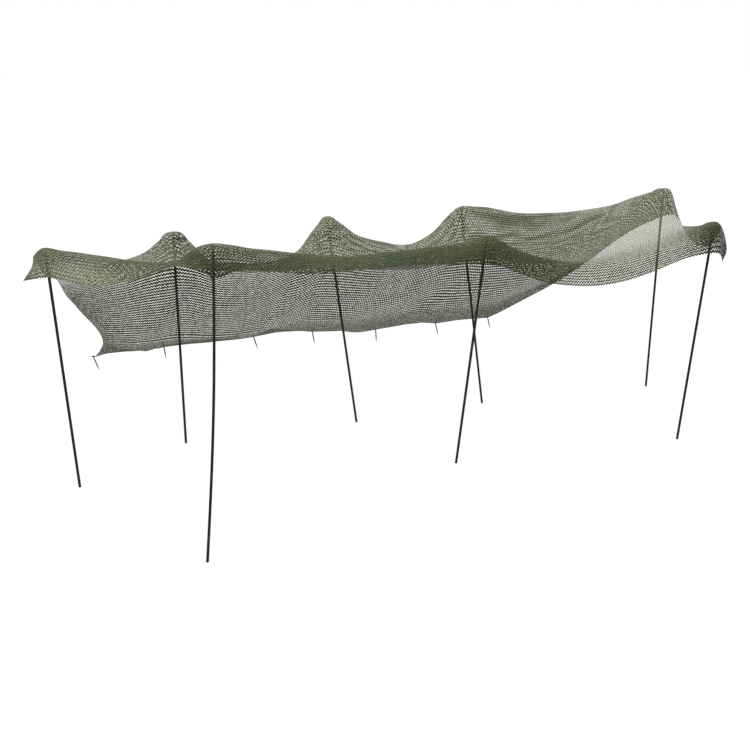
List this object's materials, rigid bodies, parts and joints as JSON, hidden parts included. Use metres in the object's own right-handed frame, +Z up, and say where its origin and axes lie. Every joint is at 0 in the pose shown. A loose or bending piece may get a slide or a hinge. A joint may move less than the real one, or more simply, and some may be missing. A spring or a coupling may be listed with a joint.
{
  "type": "camouflage netting draped over support poles and pegs",
  "caption": "Long rectangular camouflage net draped over upright support poles, open along its front and sloping down behind to short pegs along the back hem.",
  "frame": {"origin": "middle of the whole outline, on the floor", "axes": "+X along the net's long side, +Y from the open front to the pegged back hem, +Z up"},
  "size_m": [7.9161, 5.9663, 2.6315],
  "materials": {
    "net_cloth": "matt knitted plastic strip, dull olive green",
    "pole_paint": "satin, very dark green",
    "peg_steel": "dull dark grey"
  },
  "bodies": {
    "root": {"net": "net_cloth", "pole_f1": "pole_paint", "pole_f2": "pole_paint", "pole_f3": "pole_paint", "pole_f4": "pole_paint", "pole_b1": "pole_paint", "pole_b2": "pole_paint", "pole_b3": "pole_paint", "pole_b4": "pole_paint", "peg_1": "peg_steel", "peg_2": "peg_steel", "peg_3": "peg_steel", "peg_4": "peg_steel", "peg_5": "peg_steel", "peg_6": "peg_steel", "peg_7": "peg_steel"}
  },
  "joints": []
}
